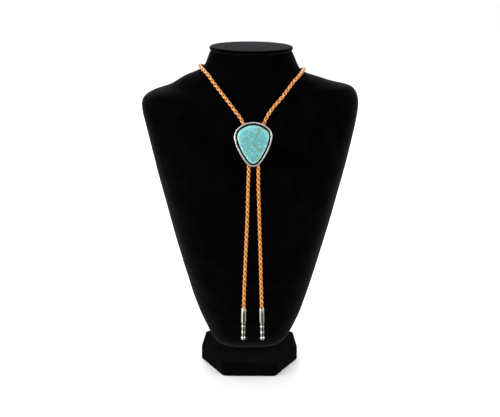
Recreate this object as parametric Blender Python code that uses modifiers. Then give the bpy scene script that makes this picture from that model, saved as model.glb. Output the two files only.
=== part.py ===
"""Bolo tie with a turquoise slide, on a velvet neck bust.

Metres, +Z up, the front of the bust towards -Y. The origin is on the table, under the middle of the bust.
"""
import math
from collections import namedtuple

import bmesh
import bpy
from mathutils import Matrix, Vector

# Fits
GAP = 0.0003                 # between pieces that rest on each other
CORD_CLEARANCE = 0.0004      # round the cord in the clasp and in the tips

# Bust
BUST_TOP = 0.388             # height of the top of the neck over the table
SHOULDER_WIDTH = 0.2564
CHEST_DEPTH = 0.076          # from the bust's middle plane to the front of the chest
BACK_DEPTH = 0.045           # from the middle plane to the back
BUST_POINTS = 40             # round each section
CAP_THICKNESS = 0.005
CAP_OVERHANG = 0.0011        # of the neck's lid past the neck
CAP_CROWN = 0.0008           # rise of the lid's middle over its edge

# Base plate
BASE_THICKNESS = 0.0166
BASE_WIDTH = 0.117
BASE_FRONT_EDGE = 0.062      # length of the straight front edge
BASE_BACK_EDGE = 0.109
BASE_FRONT = 0.054           # from the middle plane to the front edge
BASE_BACK = 0.062
BASE_WIDEST = 0.006          # how far behind the middle plane the plate is widest
BASE_CORNER = 0.007          # radius of the plate's corners, seen from above
BASE_EDGE = 0.0012           # rounding of the plate's edges

# Slide
SLIDE_WIDTH = 0.0430
SLIDE_HEIGHT = 0.0504
SLIDE_CORNER = 0.0135        # radius of the two upper corners
SLIDE_CORNER_RISE = 0.0086   # of the corners' centres over the slide's middle
SLIDE_TOE = 0.0099           # radius of the lower end
SLIDE_FLANK = 0.063          # radius of the long sides
SLIDE_SIDE = 0.0027          # how far the slide hangs to the right of the middle
SLIDE_LEVEL = 0.288          # height of the slide's middle over the table
SLIDE_TURN = math.radians(1.0)
PLATE_THICKNESS = 0.0015
RIM_WIDTH = 0.0017
RIM_HEIGHT = 0.0034          # over the back of the plate
CHANNEL_WIDTH = 0.0014
BEZEL_WALL = 0.0003
BEZEL_HEIGHT = 0.0029
STONE_EDGE = 0.0017          # height of the stone's upright edge
STONE_DOME = 0.0028          # rise of the stone's crown over that edge

# Cord, tips and clasp
CORD_DIAMETER = 0.0044
CORD_SPACING = 0.0106        # between the cord's two runs in the clasp
CORD_TUBE_POINTS = 80
CLASP_LENGTH = 0.016
CLASP_WALL = 0.0009
CLASP_DROP = 0.010           # of the clasp's middle under the slide's middle
TIP_LENGTH = 0.0392
TIP_DIAMETER = 0.0058
TIP_BARREL = 0.0170          # length of the straight barrel under the mouth
TIP_STEP = 0.0012            # length of the slope under the barrel
TIP_WAIST_DIAMETER = 0.0044  # of the slimmer lower half
TIP_BEAD_DIAMETER = 0.0050
TIP_BEAD_LENGTH = 0.0030
TIP_BEAD_PITCH = 0.0070      # between the two beads of the lower half
TIP_BALL_DIAMETER = 0.0057
TIP_SOCKET_DEPTH = 0.011
TIP_SIDES = 20

# Each row is one level section of the bust. level is a share of the body's height, left and right are shares of
# half the shoulder width, middle, front and back are shares of the chest's or the back's depth, and fullness is
# the power of the section's curve: 2 is an ellipse, more is squarer.
Section = namedtuple("Section", "level left right middle front back fullness")
BUST_SECTIONS = [
    Section(0.000, 0.232, 0.232, 0.16, 0.02, 0.74, 2.0),
    Section(0.010, 0.292, 0.292, 0.16, 0.11, 0.82, 2.0),
    Section(0.029, 0.343, 0.345, 0.13, 0.22, 0.88, 2.0),
    Section(0.055, 0.379, 0.385, 0.09, 0.33, 0.92, 2.0),
    Section(0.085, 0.413, 0.423, 0.05, 0.42, 0.94, 2.0),
    Section(0.130, 0.472, 0.477, 0.00, 0.53, 0.95, 2.05),
    Section(0.185, 0.525, 0.527, -0.04, 0.65, 0.95, 2.1),
    Section(0.240, 0.572, 0.572, -0.06, 0.75, 0.95, 2.2),
    Section(0.300, 0.622, 0.621, -0.08, 0.84, 0.95, 2.25),
    Section(0.360, 0.670, 0.668, -0.10, 0.92, 0.95, 2.3),
    Section(0.420, 0.717, 0.715, -0.10, 0.97, 0.96, 2.35),
    Section(0.490, 0.768, 0.766, -0.10, 1.00, 0.97, 2.4),
    Section(0.560, 0.820, 0.817, -0.10, 0.997, 0.98, 2.45),
    Section(0.630, 0.873, 0.869, -0.09, 0.98, 0.99, 2.5),
    Section(0.700, 0.920, 0.914, -0.07, 0.95, 1.00, 2.5),
    Section(0.750, 0.957, 0.945, -0.05, 0.915, 1.00, 2.5),
    Section(0.790, 0.987, 0.969, -0.03, 0.865, 1.00, 2.45),
    Section(0.820, 1.004, 0.980, -0.02, 0.815, 1.00, 2.4),
    Section(0.838, 1.003, 0.983, 0.00, 0.780, 1.00, 2.3),
    Section(0.852, 0.980, 0.978, 0.01, 0.748, 1.00, 2.2),
    Section(0.860, 0.950, 0.970, 0.02, 0.730, 0.99, 2.15),
    Section(0.868, 0.914, 0.964, 0.03, 0.710, 0.98, 2.1),
    Section(0.877, 0.838, 0.946, 0.04, 0.688, 0.97, 2.0),
    Section(0.885, 0.764, 0.926, 0.04, 0.666, 0.93, 2.0),
    Section(0.890, 0.733, 0.900, 0.03, 0.652, 0.91, 2.0),
    Section(0.897, 0.702, 0.802, 0.00, 0.630, 0.86, 2.0),
    Section(0.906, 0.666, 0.704, -0.05, 0.604, 0.79, 2.0),
    Section(0.916, 0.626, 0.640, -0.10, 0.576, 0.72, 2.0),
    Section(0.925, 0.580, 0.540, -0.12, 0.552, 0.67, 2.0),
    Section(0.935, 0.498, 0.470, -0.12, 0.528, 0.64, 2.0),
    Section(0.944, 0.456, 0.441, -0.11, 0.514, 0.63, 2.0),
    Section(0.952, 0.427, 0.429, -0.08, 0.500, 0.65, 2.0),
    Section(0.974, 0.405, 0.400, 0.00, 0.480, 0.76, 2.0),
    Section(1.000, 0.374, 0.366, 0.05, 0.468, 0.87, 2.0),
]

# The cord's route, from the end inside the left tip up the chest, through the clasp, round the back of the neck
# and down again to the end inside the right tip. Chosen by hand along the bust's surface.
CORD_ROUTE = [
    (-0.0069, -0.0790, 0.0830),
    (-0.0066, -0.0790, 0.1080),
    (-0.0052, -0.0790, 0.1550),
    (-0.0036, -0.0790, 0.2000),
    (-0.0028, -0.0790, 0.2400),
    (-0.0021, -0.0783, 0.2656),
    (-0.0024, -0.0760, 0.2774),
    (-0.0026, -0.0738, 0.2892),
    (-0.0098, -0.0668, 0.3117),
    (-0.0193, -0.0618, 0.3246),
    (-0.0298, -0.0548, 0.3371),
    (-0.0408, -0.0441, 0.3491),
    (-0.0490, -0.0338, 0.3584),
    (-0.0565, -0.0203, 0.3637),
    (-0.0599, -0.0051, 0.3654),
    (-0.0582, 0.0083, 0.3634),
    (-0.0508, 0.0207, 0.3593),
    (-0.0364, 0.0296, 0.3554),
    (-0.0186, 0.0346, 0.3529),
    (0.0000, 0.0366, 0.3518),
    (0.0175, 0.0355, 0.3521),
    (0.0342, 0.0322, 0.3531),
    (0.0503, 0.0247, 0.3556),
    (0.0593, 0.0128, 0.3590),
    (0.0612, -0.0009, 0.3619),
    (0.0594, -0.0157, 0.3616),
    (0.0544, -0.0296, 0.3580),
    (0.0474, -0.0403, 0.3523),
    (0.0347, -0.0546, 0.3376),
    (0.0231, -0.0615, 0.3248),
    (0.0158, -0.0664, 0.3129),
    (0.0080, -0.0738, 0.2892),
    (0.0082, -0.0760, 0.2776),
    (0.0085, -0.0783, 0.2658),
    (0.0089, -0.0790, 0.2400),
    (0.0103, -0.0790, 0.2000),
    (0.0119, -0.0790, 0.1550),
    (0.0135, -0.0790, 0.1080),
    (0.0143, -0.0790, 0.0830),
]


def clear_scene():
    """Remove whatever the file starts with."""
    for existing in list(bpy.data.objects):
        bpy.data.objects.remove(existing, do_unlink=True)


def part_collection(name):
    """A collection for the object's pieces, linked to the scene."""
    collection = bpy.data.collections.new(name)
    bpy.context.scene.collection.children.link(collection)
    return collection


def finish_material(name, colour, roughness, metallic=0.0):
    """A plain Principled material with the piece's colour."""
    material = bpy.data.materials.new(name)
    material.use_nodes = True
    shader = material.node_tree.nodes["Principled BSDF"]
    shader.inputs["Base Color"].default_value = (*colour, 1.0)
    shader.inputs["Roughness"].default_value = roughness
    shader.inputs["Metallic"].default_value = metallic
    material.diffuse_color = (*colour, 1.0)
    return material


def add_object(name, data, collection, material, parent=None):
    """Put a mesh or curve in the collection under its piece's name."""
    piece = bpy.data.objects.new(name, data)
    piece.data.materials.append(material)
    piece.parent = parent
    collection.objects.link(piece)
    return piece


# Lofts

def closed_loft(name, loops, smooth_angle=math.radians(40.0)):
    """A closed mesh through loops of equally many points, capped at both ends. The loops run bottom to top."""
    shape = bmesh.new()
    rings = [[shape.verts.new(point) for point in loop] for loop in loops]
    for lower, upper in zip(rings, rings[1:]):
        for index in range(len(lower)):
            after = (index + 1) % len(lower)
            shape.faces.new((lower[index], lower[after], upper[after], upper[index]))
    shape.faces.new(reversed(rings[0]))
    shape.faces.new(rings[-1])
    bmesh.ops.recalc_face_normals(shape, faces=shape.faces)
    mesh = bpy.data.meshes.new(name)
    shape.to_mesh(mesh)
    shape.free()
    mesh.shade_smooth()
    mesh.set_sharp_from_angle(angle=smooth_angle)
    return mesh


def signed_power(value, power):
    return math.copysign(abs(value) ** power, value)


# Bust

BODY_BOTTOM = BASE_THICKNESS + GAP
BODY_TOP = BUST_TOP - CAP_THICKNESS - GAP


def section_points(section, height):
    """One level section of the bust: a full curve, wider or deeper on each side by its own share."""
    half_width = SHOULDER_WIDTH / 2.0
    middle = section.middle * BACK_DEPTH
    points = []
    for index in range(BUST_POINTS):
        angle = 2.0 * math.pi * index / BUST_POINTS
        across = signed_power(math.cos(angle), 2.0 / section.fullness)
        deep = signed_power(math.sin(angle), 2.0 / section.fullness)
        side = section.right if across > 0.0 else section.left
        depth = section.front * CHEST_DEPTH + middle
        if deep > 0.0:
            depth = section.back * BACK_DEPTH - middle
        points.append(Vector((across * side * half_width, middle + deep * depth, height)))
    return points


def section_height(section):
    return BODY_BOTTOM + section.level * (BODY_TOP - BODY_BOTTOM)


def bust_body(collection, material):
    """Neck, shoulders and chest, lofted through the table's sections."""
    loops = [section_points(section, section_height(section)) for section in BUST_SECTIONS]
    return add_object("bust_body", closed_loft("bust_body", loops), collection, material)


def neck_cap(collection, material):
    """The flat lid on the neck, a little wider than the neck."""
    neck = section_points(BUST_SECTIONS[-1], 0.0)
    rounding = CAP_THICKNESS / 4.0
    bottom = BODY_TOP + GAP
    edge_top = BUST_TOP - CAP_CROWN
    rows = [(CAP_OVERHANG - rounding, bottom), (CAP_OVERHANG, bottom + rounding),
            (CAP_OVERHANG, edge_top - rounding), (CAP_OVERHANG - rounding, edge_top)]
    loops = []
    for outset, height in rows:
        loops.append([point + point.normalized() * outset + Vector((0.0, 0.0, height)) for point in neck])
    for share in (0.7, 0.4, 0.1):
        height = BUST_TOP - CAP_CROWN * share ** 2
        loops.append([point * share + Vector((0.0, 0.0, height)) for point in neck])
    return add_object("neck_cap", closed_loft("neck_cap", loops), collection, material)


def chest_front(height):
    """Depth of the front of the chest, on the middle line, at a height over the table."""
    for lower, upper in zip(BUST_SECTIONS, BUST_SECTIONS[1:]):
        if section_height(upper) >= height:
            break
    share = (height - section_height(lower)) / (section_height(upper) - section_height(lower))
    front = lower.front + share * (upper.front - lower.front)
    return -front * CHEST_DEPTH


# Base plate

def rounded_corner(before, corner, after, radius, steps=5):
    """Points of an arc that rounds one corner of an outline."""
    incoming = (before - corner).normalized()
    outgoing = (after - corner).normalized()
    half_angle = incoming.angle(outgoing) / 2.0
    centre = corner + (incoming + outgoing).normalized() * (radius / math.sin(half_angle))
    start = corner + incoming * (radius / math.tan(half_angle)) - centre
    end = corner + outgoing * (radius / math.tan(half_angle)) - centre
    points = []
    for step in range(steps + 1):
        direction = start.lerp(end, step / steps).normalized()
        points.append(centre + direction * radius)
    return points


def outline_curve(name, outlines, thickness):
    """A flat 2D curve, filled on both sides and extruded to a thickness about its own plane."""
    curve = bpy.data.curves.new(name, "CURVE")
    curve.dimensions = "2D"
    curve.fill_mode = "BOTH"
    curve.extrude = thickness / 2.0
    for outline in outlines:
        spline = curve.splines.new("POLY")
        spline.points.add(len(outline) - 1)
        for place, point in zip(spline.points, outline):
            place.co = (point[0], point[1], 0.0, 1.0)
        spline.use_cyclic_u = True
    return curve


def base_plate(collection, material):
    """The flat plate under the bust, six-sided with rounded corners and edges."""
    front = BASE_FRONT_EDGE / 2.0
    wide = BASE_WIDTH / 2.0
    back = BASE_BACK_EDGE / 2.0
    corners = [Vector((front, -BASE_FRONT, 0.0)), Vector((wide, BASE_WIDEST, 0.0)), Vector((back, BASE_BACK, 0.0)),
               Vector((-back, BASE_BACK, 0.0)), Vector((-wide, BASE_WIDEST, 0.0)), Vector((-front, -BASE_FRONT, 0.0))]
    outline = []
    for index, corner in enumerate(corners):
        outline += rounded_corner(corners[index - 1], corner, corners[(index + 1) % len(corners)], BASE_CORNER)
    curve = outline_curve("base", [outline], BASE_THICKNESS)
    plate = add_object("base", curve, collection, material)
    plate.location.z = BASE_THICKNESS / 2.0
    weld = plate.modifiers.new("weld caps", "WELD")
    weld.merge_threshold = 0.00001
    rounding = plate.modifiers.new("rounded edges", "BEVEL")
    rounding.width = BASE_EDGE
    rounding.segments = 3
    rounding.limit_method = "ANGLE"
    rounding.angle_limit = math.radians(60.0)
    return plate


# Slide

Arc = namedtuple("Arc", "centre radius first last steps")


def slope_between(start, end):
    """Direction from one centre to another, as an angle."""
    return math.atan2(end.y - start.y, end.x - start.x)


def slide_arcs():
    """The arcs of the slide's right half, from the top to the toe. Each meets the next without a kink."""
    corner_x = SLIDE_WIDTH / 2.0 - SLIDE_CORNER
    fall = SLIDE_CORNER_RISE - SLIDE_HEIGHT / 2.0
    crown = (SLIDE_CORNER ** 2 - corner_x ** 2 - fall ** 2) / (2.0 * (fall + SLIDE_CORNER))
    crown_centre = Vector((0.0, SLIDE_HEIGHT / 2.0 - crown))
    corner_centre = Vector((corner_x, SLIDE_CORNER_RISE))
    toe_centre = Vector((0.0, SLIDE_TOE - SLIDE_HEIGHT / 2.0))
    # the flank's centre lies on the far side, at its own distances from the corner's and the toe's centres
    across = toe_centre - corner_centre
    to_corner = SLIDE_FLANK - SLIDE_CORNER
    to_toe = SLIDE_FLANK - SLIDE_TOE
    along = (to_corner ** 2 - to_toe ** 2 + across.length_squared) / (2.0 * across.length)
    aside = math.sqrt(to_corner ** 2 - along ** 2)
    unit = across.normalized()
    flank_centre = corner_centre + unit * along + Vector((unit.y, -unit.x)) * aside
    top = math.pi / 2.0
    corner_start = slope_between(crown_centre, corner_centre)
    corner_end = slope_between(flank_centre, corner_centre)
    toe_start = slope_between(flank_centre, toe_centre)
    return [Arc(crown_centre, crown, top, corner_start, 5),
            Arc(corner_centre, SLIDE_CORNER, corner_start, corner_end, 6),
            Arc(flank_centre, SLIDE_FLANK, corner_end, toe_start, 5),
            Arc(toe_centre, SLIDE_TOE, toe_start, -top, 5)]


def slide_outline(inset):
    """The slide's outline, drawn in by an inset that is the same all round. It runs anticlockwise from the top."""
    right = []
    for arc in slide_arcs():
        for step in range(arc.steps):
            angle = arc.first + (arc.last - arc.first) * step / arc.steps
            right.append(arc.centre + Vector((math.cos(angle), math.sin(angle))) * (arc.radius - inset))
    toe = Vector((0.0, inset - SLIDE_HEIGHT / 2.0))
    left = [Vector((-point.x, point.y)) for point in right[1:]]
    return right[:1] + left + [toe] + right[:0:-1]


def slide_loops(rows):
    """Loops round the slide from rows of inset and height."""
    return [[Vector((point.x, point.y, height)) for point in slide_outline(inset)] for inset, height in rows]


def slide_setting(collection, material, parent):
    """Plate, raised rim, sunk channel and bezel, soldered into one solid."""
    soft = RIM_WIDTH / 4.0
    channel_start = RIM_WIDTH
    channel_end = RIM_WIDTH + CHANNEL_WIDTH
    seat = channel_end + BEZEL_WALL
    shoulder = RIM_HEIGHT - soft
    rows = [(soft, 0.0), (0.0, soft), (0.0, shoulder), (soft, RIM_HEIGHT - soft / 3.0),
            (RIM_WIDTH / 2.0, RIM_HEIGHT), (RIM_WIDTH - soft, RIM_HEIGHT - soft / 3.0), (channel_start, shoulder),
            (channel_start, PLATE_THICKNESS), (channel_end, PLATE_THICKNESS), (channel_end, BEZEL_HEIGHT),
            (seat, BEZEL_HEIGHT), (seat, PLATE_THICKNESS)]
    return add_object("setting", closed_loft("setting", slide_loops(rows)), collection, material, parent)


def slide_stone(collection, material, parent):
    """The cabochon: an upright edge inside the bezel and a low crown."""
    seat = RIM_WIDTH + CHANNEL_WIDTH + BEZEL_WALL + GAP
    bottom = PLATE_THICKNESS + GAP
    rim = slide_outline(seat)
    middle = Vector((0.0, SLIDE_CORNER_RISE / 3.0))
    loops = [[Vector((point.x, point.y, bottom)) for point in rim]]
    crown_steps = 7
    for step in range(crown_steps):
        angle = 0.5 * math.pi * step / crown_steps
        share = math.cos(angle)
        height = bottom + STONE_EDGE + STONE_DOME * math.sin(angle)
        loop = [middle + (point - middle) * share for point in rim]
        loops.append([Vector((point.x, point.y, height)) for point in loop])
    return add_object("stone", closed_loft("stone", loops), collection, material, parent)


def clasp_depth():
    """Thickness of the clasp, front to back."""
    return CORD_DIAMETER + 2.0 * (CORD_CLEARANCE + CLASP_WALL)


def slide_clasp(collection, material, parent):
    """The hidden clasp: one plain piece behind the plate, with a bore for each run of the cord."""
    bore = CORD_DIAMETER / 2.0 + CORD_CLEARANCE
    outer = bore + CLASP_WALL
    run = CORD_SPACING / 2.0
    half_turn = 10
    outline = []
    for side, start in ((run, -math.pi / 2.0), (-run, math.pi / 2.0)):
        for step in range(half_turn + 1):
            angle = start + math.pi * step / half_turn
            outline.append((side + outer * math.cos(angle), outer * math.sin(angle)))
    holes = []
    for side in (run, -run):
        turns = [math.pi * step / half_turn for step in range(2 * half_turn)]
        holes.append([(side + bore * math.cos(angle), bore * math.sin(angle)) for angle in turns])
    curve = outline_curve("slide_clasp", [outline] + holes, CLASP_LENGTH)
    clasp = add_object("slide_clasp", curve, collection, material, parent)
    clasp.rotation_euler.x = math.pi / 2.0
    clasp.location = (0.0, -CLASP_DROP, -GAP - clasp_depth() / 2.0)
    weld = clasp.modifiers.new("weld caps", "WELD")
    weld.merge_threshold = 0.00001
    return clasp


def slide_frame(collection):
    """An empty at the middle of the plate's back, tilted as the chest is where the clasp rests on it."""
    upper = SLIDE_LEVEL + SLIDE_HEIGHT / 2.0
    lower = SLIDE_LEVEL - SLIDE_HEIGHT / 2.0
    lean = math.atan2(chest_front(upper) - chest_front(lower), SLIDE_HEIGHT)
    stack = GAP + clasp_depth() + GAP
    frame = bpy.data.objects.new("slide_frame", None)
    frame.location = (SLIDE_SIDE, chest_front(SLIDE_LEVEL) - stack / math.cos(lean), SLIDE_LEVEL)
    tilt = Matrix.Rotation(math.pi / 2.0 - lean, 4, "X") @ Matrix.Rotation(SLIDE_TURN, 4, "Z")
    frame.rotation_euler = tilt.to_euler()
    collection.objects.link(frame)
    return frame


# Cord and tips

def smooth_route(points, count):
    """Evenly spaced points on a smooth curve through the route's own points."""
    route = [Vector(point) for point in points]
    route = [2.0 * route[0] - route[1]] + route + [2.0 * route[-1] - route[-2]]
    fine = []
    steps = 24
    for before, start, end, after in zip(route, route[1:], route[2:], route[3:]):
        first = (start - before).length ** 0.5
        second = (end - start).length ** 0.5
        third = (after - end).length ** 0.5
        leave = (start - before) / first - (end - before) / (first + second) + (end - start) / second
        arrive = (end - start) / second - (after - start) / (second + third) + (after - end) / third
        for step in range(steps):
            t = step / steps
            fine.append((2 * t ** 3 - 3 * t ** 2 + 1) * start + (t ** 3 - 2 * t ** 2 + t) * second * leave
                        + (3 * t ** 2 - 2 * t ** 3) * end + (t ** 3 - t ** 2) * second * arrive)
    fine.append(route[-2])
    lengths = [0.0]
    for here, there in zip(fine, fine[1:]):
        lengths.append(lengths[-1] + (there - here).length)
    evenly = []
    place = 0
    for index in range(count):
        target = lengths[-1] * index / (count - 1)
        while place < len(fine) - 2 and lengths[place + 1] < target:
            place += 1
        share = (target - lengths[place]) / (lengths[place + 1] - lengths[place])
        evenly.append(fine[place].lerp(fine[place + 1], share))
    return evenly


def cord(collection, material):
    """The whole cord as one plain tube."""
    curve = bpy.data.curves.new("cord", "CURVE")
    curve.dimensions = "3D"
    curve.bevel_depth = CORD_DIAMETER / 2.0
    curve.bevel_resolution = 2
    curve.use_fill_caps = True
    spline = curve.splines.new("POLY")
    spline.points.add(CORD_TUBE_POINTS - 1)
    for place, point in zip(spline.points, smooth_route(CORD_ROUTE, CORD_TUBE_POINTS)):
        place.co = (*point, 1.0)
    return add_object("cord", curve, collection, material)


def tip_profile():
    """Radius and height down the outside of a tip: barrel, slope, two beads and the ball."""
    waist = TIP_WAIST_DIAMETER / 2.0
    swell = (TIP_BEAD_DIAMETER - TIP_WAIST_DIAMETER) / 2.0
    ball = TIP_BALL_DIAMETER / 2.0
    points = [(TIP_DIAMETER / 2.0, 0.0), (TIP_DIAMETER / 2.0, -TIP_BARREL), (waist, -TIP_BARREL - TIP_STEP)]
    first_bead = TIP_BARREL + TIP_STEP + 0.6 * TIP_BEAD_PITCH
    bead_steps = 4
    for middle in (first_bead, first_bead + TIP_BEAD_PITCH):
        for step in range(bead_steps + 1):
            share = step / bead_steps
            height = -middle + TIP_BEAD_LENGTH * (0.5 - share)
            points.append((waist + swell * math.sin(math.pi * share), height))
    ball_centre = ball - TIP_LENGTH
    ball_start = math.asin(0.85 * waist / ball)
    ball_steps = 7
    for step in range(ball_steps):
        angle = ball_start + (math.pi - ball_start) * step / ball_steps
        points.append((ball * math.sin(angle), ball_centre + ball * math.cos(angle)))
    points.append((0.0, -TIP_LENGTH))
    return points


def cord_tip(name, collection, material, end, inward):
    """A turned tip with a socket for the cord's end. Its mouth is a socket's depth past the cord's end."""
    socket = CORD_DIAMETER / 2.0 + CORD_CLEARANCE
    floor = -TIP_SOCKET_DEPTH - GAP
    profile = [(0.0, floor), (socket, floor), (socket, 0.0)] + tip_profile()
    shape = bmesh.new()
    vertices = [shape.verts.new((radius, 0.0, height)) for radius, height in profile]
    for upper, lower in zip(vertices, vertices[1:]):
        shape.edges.new((upper, lower))
    mesh = bpy.data.meshes.new(name)
    shape.to_mesh(mesh)
    shape.free()
    tip = add_object(name, mesh, collection, material)
    turning = tip.modifiers.new("turned", "SCREW")
    turning.steps = TIP_SIDES
    turning.render_steps = TIP_SIDES
    turning.use_merge_vertices = True
    turning.merge_threshold = 0.00001
    turning.use_smooth_shade = True
    direction = (inward - end).normalized()
    tip.rotation_euler = direction.to_track_quat("Z", "Y").to_euler()
    tip.location = end + direction * TIP_SOCKET_DEPTH
    return tip


def cord_and_tips(collection, leather, metal):
    """The cord with a tip on each end."""
    cord(collection, leather)
    line = smooth_route(CORD_ROUTE, CORD_TUBE_POINTS)
    cord_tip("tip_left", collection, metal, line[0], line[1])
    cord_tip("tip_right", collection, metal, line[-1], line[-2])


def build():
    clear_scene()
    collection = part_collection("bolo_tie_on_neck_bust")
    velvet = finish_material("velvet", (0.012, 0.012, 0.014), 0.95)
    leather = finish_material("braided_leather", (0.72, 0.33, 0.09), 0.55)
    silver = finish_material("oxidised_silver", (0.72, 0.70, 0.69), 0.3, 1.0)
    nickel = finish_material("polished_nickel", (0.78, 0.75, 0.70), 0.12, 1.0)
    turquoise = finish_material("turquoise", (0.13, 0.52, 0.53), 0.25)
    bust_body(collection, velvet)
    neck_cap(collection, velvet)
    base_plate(collection, velvet)
    frame = slide_frame(collection)
    slide_setting(collection, silver, frame)
    slide_stone(collection, turquoise, frame)
    slide_clasp(collection, nickel, frame)
    cord_and_tips(collection, leather, nickel)


build()
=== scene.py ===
"""Looks of a bolo tie on its velvet neck bust: every surface's finish, the cord's braid and the studio.

Metres, +Z up, the front of the bust towards -Y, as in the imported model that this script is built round.
Laid out as an add-on: settings, one operator for each piece, a panel that lists them, and main(), which
runs them.
"""
from math import asin, atan, atan2, copysign, cos, hypot, pi, radians, sin, sqrt

import bmesh
import bpy
from bpy.types import Operator, Panel, PropertyGroup
from mathutils import Matrix, Vector, noise


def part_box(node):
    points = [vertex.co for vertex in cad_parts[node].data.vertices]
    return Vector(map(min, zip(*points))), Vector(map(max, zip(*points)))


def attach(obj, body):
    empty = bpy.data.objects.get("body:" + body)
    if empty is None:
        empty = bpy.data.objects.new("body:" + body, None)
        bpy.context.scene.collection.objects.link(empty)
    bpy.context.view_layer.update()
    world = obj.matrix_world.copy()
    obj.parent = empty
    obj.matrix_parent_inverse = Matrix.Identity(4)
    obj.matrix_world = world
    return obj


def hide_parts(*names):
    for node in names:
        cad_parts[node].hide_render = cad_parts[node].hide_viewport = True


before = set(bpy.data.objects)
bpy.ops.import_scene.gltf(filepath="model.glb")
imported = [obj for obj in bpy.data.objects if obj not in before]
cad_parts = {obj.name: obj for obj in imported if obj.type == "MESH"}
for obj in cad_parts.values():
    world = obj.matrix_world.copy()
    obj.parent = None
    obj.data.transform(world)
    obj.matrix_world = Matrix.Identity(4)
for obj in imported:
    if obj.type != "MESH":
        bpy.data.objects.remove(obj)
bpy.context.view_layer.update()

bl_info = {
    "name": "Bolo Tie on a Neck Bust",
    "version": (1, 0, 0),
    "blender": (4, 5, 0),
    "location": "View3D > Sidebar > Bolo Tie",
    "description": "Dresses the packed bolo tie: velvet, braided leather, silver, turquoise and nickel",
    "category": "Object",
}

BODY = "root"
WELD = 1e-5  # distance at which doubled vertices are merged

# The slide's place: the middle of the back of its plate, and its tilt, as in the model
SLIDE_PLACE = Vector((0.0027, -0.077758, 0.288))
SLIDE_LEAN = radians(11.1116)
SLIDE_TURN = radians(1.0)

# The cord's route, from the end inside the left tip up the chest, through the clasp, round the back of the
# neck and down again to the end inside the right tip. The same points as in the model.
CORD_ROUTE = [
    (-0.0069, -0.0790, 0.0830),
    (-0.0066, -0.0790, 0.1080),
    (-0.0052, -0.0790, 0.1550),
    (-0.0036, -0.0790, 0.2000),
    (-0.0028, -0.0790, 0.2400),
    (-0.0021, -0.0783, 0.2656),
    (-0.0024, -0.0760, 0.2774),
    (-0.0026, -0.0738, 0.2892),
    (-0.0098, -0.0668, 0.3117),
    (-0.0193, -0.0618, 0.3246),
    (-0.0298, -0.0548, 0.3371),
    (-0.0408, -0.0441, 0.3491),
    (-0.0490, -0.0338, 0.3584),
    (-0.0565, -0.0203, 0.3637),
    (-0.0599, -0.0051, 0.3654),
    (-0.0582, 0.0083, 0.3634),
    (-0.0508, 0.0207, 0.3593),
    (-0.0364, 0.0296, 0.3554),
    (-0.0186, 0.0346, 0.3529),
    (0.0000, 0.0366, 0.3518),
    (0.0175, 0.0355, 0.3521),
    (0.0342, 0.0322, 0.3531),
    (0.0503, 0.0247, 0.3556),
    (0.0593, 0.0128, 0.3590),
    (0.0612, -0.0009, 0.3619),
    (0.0594, -0.0157, 0.3616),
    (0.0544, -0.0296, 0.3580),
    (0.0474, -0.0403, 0.3523),
    (0.0347, -0.0546, 0.3376),
    (0.0231, -0.0615, 0.3248),
    (0.0158, -0.0664, 0.3129),
    (0.0080, -0.0738, 0.2892),
    (0.0082, -0.0760, 0.2776),
    (0.0085, -0.0783, 0.2658),
    (0.0089, -0.0790, 0.2400),
    (0.0103, -0.0790, 0.2000),
    (0.0119, -0.0790, 0.1550),
    (0.0135, -0.0790, 0.1080),
    (0.0143, -0.0790, 0.0830),
]


# Settings

def metres(name, description, default):
    """A length in metres, shown in the scene's unit."""
    return bpy.props.FloatProperty(
        name=name, description=description, default=default,
        min=0.0, precision=5, subtype="DISTANCE", unit="LENGTH"
    )


def fraction(name, description, default):
    """A number from nothing to all."""
    return bpy.props.FloatProperty(
        name=name, description=description, default=default, min=0.0, max=1.0, subtype="FACTOR"
    )


def watts(name, description, default):
    """The power of a light in watts."""
    return bpy.props.FloatProperty(
        name=name, description=description, default=default, min=0.0, unit="POWER"
    )


def hue(name, description, default):
    """A linear colour."""
    return bpy.props.FloatVectorProperty(
        name=name, description=description, default=default, size=3, min=0.0, max=1.0, subtype="COLOR"
    )


class VelvetSettings(PropertyGroup):
    colour: hue("Velvet", "Colour of the pile seen straight on", (0.0007, 0.0006, 0.0008))
    worn: hue("Brushed velvet", "Where the pile lies the other way", (0.0016, 0.0015, 0.0018))
    # The base wears a shaded copy of the velvet: its own colours and less sheen are painted light, a lighter
    # front and a darker top.
    base_shaded_colour: hue("Base velvet", "The base's flatter pile", (0.0017, 0.0014, 0.0019))
    base_shaded_worn: hue("Brushed base", "Where it lies the other way", (0.0032, 0.0027, 0.0034))
    sheen: fraction("Sheen", "How much light the pile throws back at a slant", 0.125)
    base_shaded_sheen: fraction("Base sheen", "The flatter pile's share of that light", 0.22)
    grain: metres("Remesh grain", "Size of the faces of the soft bust", 0.002)
    relief: metres("Pile relief", "How far the pile's clumps stand up", 0.00012)


class BraidSettings(PropertyGroup):
    diameter: metres("Cord diameter", "Over the braid", 0.0041)
    pitch: metres("Pitch", "Length in which a lace goes once round the cord", 0.0118)
    lace_width: metres("Lace width", "Width of each of the four laces", 0.0021)
    lace_thickness: metres("Lace thickness", "Thickness of each lace", 0.00078)
    leather: hue("Leather", "The laces' tan", (0.93, 0.295, 0.0003))
    # Rubbed wear, and also a painted highlight: mixed in at random along the laces and most on their crowns.
    pale: hue("Rubbed leather", "Where the laces are rubbed pale", (1.0, 0.535, 0.065))
    # Painted shade where the laces sink between the others.
    crevice_shade: hue("Crevice", "Wax and dirt where the laces sink", (0.15, 0.022, 0.01))
    # The core is a real part; its near-black colour is painted shade in the gaps between the laces.
    core: hue("Core", "The dark core between the laces", (0.032, 0.01, 0.01))
    core_share: fraction("Core share", "The core's radius as a share of the cord's diameter", 0.27)


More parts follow.
